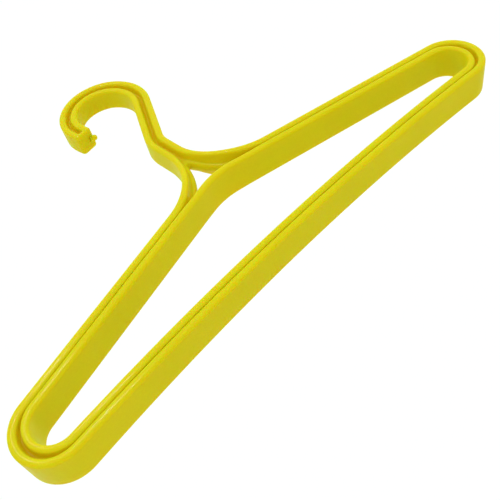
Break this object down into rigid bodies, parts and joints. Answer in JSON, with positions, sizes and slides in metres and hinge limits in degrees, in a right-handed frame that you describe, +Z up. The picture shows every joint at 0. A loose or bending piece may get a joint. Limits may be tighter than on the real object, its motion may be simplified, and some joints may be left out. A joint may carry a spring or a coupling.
{
  "type": "plastic gear hanger",
  "caption": "One-piece moulded plastic hanger for wet diving gear: double-walled triangle with an arched crossbar, windowed neck and open question-mark hook.",
  "frame": {"origin": "the hook's seat: the highest point of the inside of the hook's bowl, at mid depth, where a rail carries the hanger", "axes": "+X along the crossbar to the right end, +Z up through the neck to the hook, +Y from the front face to the back"},
  "size_m": [0.43, 0.0266, 0.2666],
  "materials": {
    "yellow_plastic": "glossy moulded yellow, softly rounded rims"
  },
  "bodies": {
    "root": {"hook_tip": "yellow_plastic", "hook_bow": "yellow_plastic", "hook_shank": "yellow_plastic", "neck": "yellow_plastic", "yoke": "yellow_plastic", "left_arm": "yellow_plastic", "right_arm": "yellow_plastic", "left_end_loop": "yellow_plastic", "right_end_loop": "yellow_plastic", "crossbar": "yellow_plastic"}
  },
  "joints": []
}
